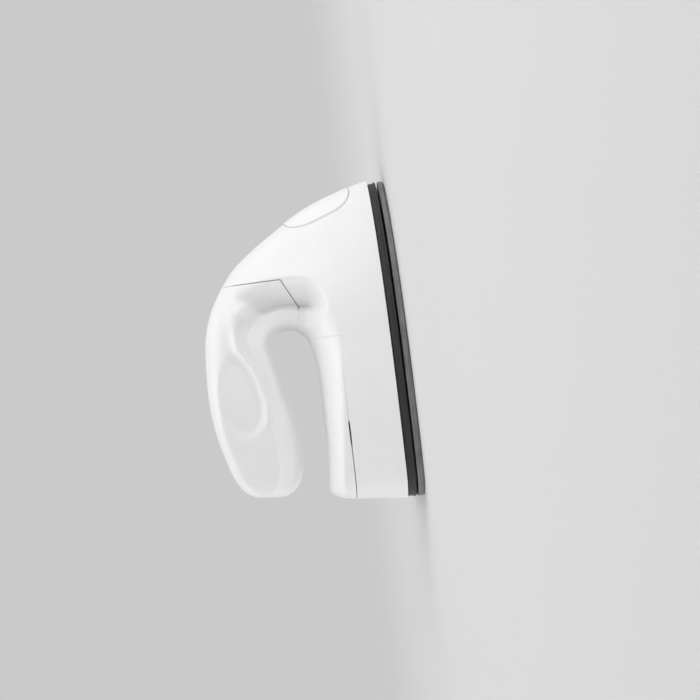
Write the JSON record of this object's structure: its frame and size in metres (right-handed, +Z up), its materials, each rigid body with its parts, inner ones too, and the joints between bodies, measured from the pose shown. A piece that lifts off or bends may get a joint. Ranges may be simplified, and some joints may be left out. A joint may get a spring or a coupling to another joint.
{
  "type": "mini craft iron",
  "caption": "Small fixed-temperature craft iron with an open-ended curved handle, pointed soleplate and a deck to lay the handle over.",
  "frame": {"origin": "middle of the soleplate's flat face, half-way from the nose's tip to the heel", "axes": "+X to the nose, +Z up from the sole's face to the handle, +Y to the left-hand side, where the cord goes in"},
  "size_m": [0.1211, 0.0641, 0.0762],
  "materials": {
    "white_plastic": "moulded white plastic, slightly glossy",
    "black_plastic": "heat-resistant black plastic, satin",
    "sole_metal": "cast aluminium with a dark non-stick coat",
    "sheet_steel": "pressed plated steel sheet",
    "element_steel": "drawn steel sheath, heat tinted",
    "screw_steel": "zinc-plated steel",
    "spring_brass": "spring bronze blade",
    "ceramic": "unglazed steatite",
    "bush_rubber": "black moulded rubber",
    "lead_sleeve": "braided glass-fibre sleeve"
  },
  "bodies": {
    "iron": {"body_housing": "white_plastic", "deck_cover": "white_plastic", "handle_left": "white_plastic", "handle_right": "white_plastic", "nose_plate": "white_plastic", "skirt": "black_plastic", "soleplate": "sole_metal", "thermostat_foot": "sheet_steel", "thermostat_top_plate": "sheet_steel", "fuse_clip": "sheet_steel", "heat_shield": "sheet_steel", "heating_element": "element_steel", "element_pin_left": "screw_steel", "element_pin_right": "screw_steel", "thermostat_rivet": "screw_steel", "thermostat_screw": "screw_steel", "fuse_clip_screw": "screw_steel", "handle_screw_rear": "screw_steel", "handle_screw_front": "screw_steel", "neck_screw_left": "screw_steel", "neck_screw_right": "screw_steel", "sole_screw_front": "screw_steel", "sole_screw_left": "screw_steel", "sole_screw_right": "screw_steel", "deck_screw": "screw_steel", "terminal_block_screw": "screw_steel", "terminal_screw_left": "screw_steel", "terminal_screw_right": "screw_steel", "fixed_contact_blade": "spring_brass", "thermostat_lower_washer": "ceramic", "thermostat_middle_washer": "ceramic", "thermostat_upper_washer": "ceramic", "terminal_block": "ceramic", "cord_bush": "bush_rubber", "thermal_fuse": "lead_sleeve", "lead_live": "lead_sleeve", "lead_thermostat": "lead_sleeve", "lead_fuse": "lead_sleeve", "lead_neutral": "lead_sleeve"},
    "bimetal": {"bimetal_strip": "sheet_steel", "push_pin": "ceramic"},
    "contact_blade": {"moving_contact_blade": "spring_brass"}
  },
  "joints": [
    {"name": "bimetal_flex", "type": "hinge", "parent": "iron", "child": "bimetal", "pos_m": [-0.0105, 0, 0.0111], "axis": [0, -1, 0], "range_deg": [0, 1.5], "stiffness_Nm_per_rad": 0.002},
    {"name": "contact_blade_flex", "type": "hinge", "parent": "iron", "child": "contact_blade", "pos_m": [-0.0105, 0, 0.0157], "axis": [0, -1, 0], "range_deg": [0, 1.5], "stiffness_Nm_per_rad": 0.002}
  ],
  "couplings": [
    {"joint": "contact_blade_flex", "follows": "bimetal_flex", "ratio": 1}
  ]
}
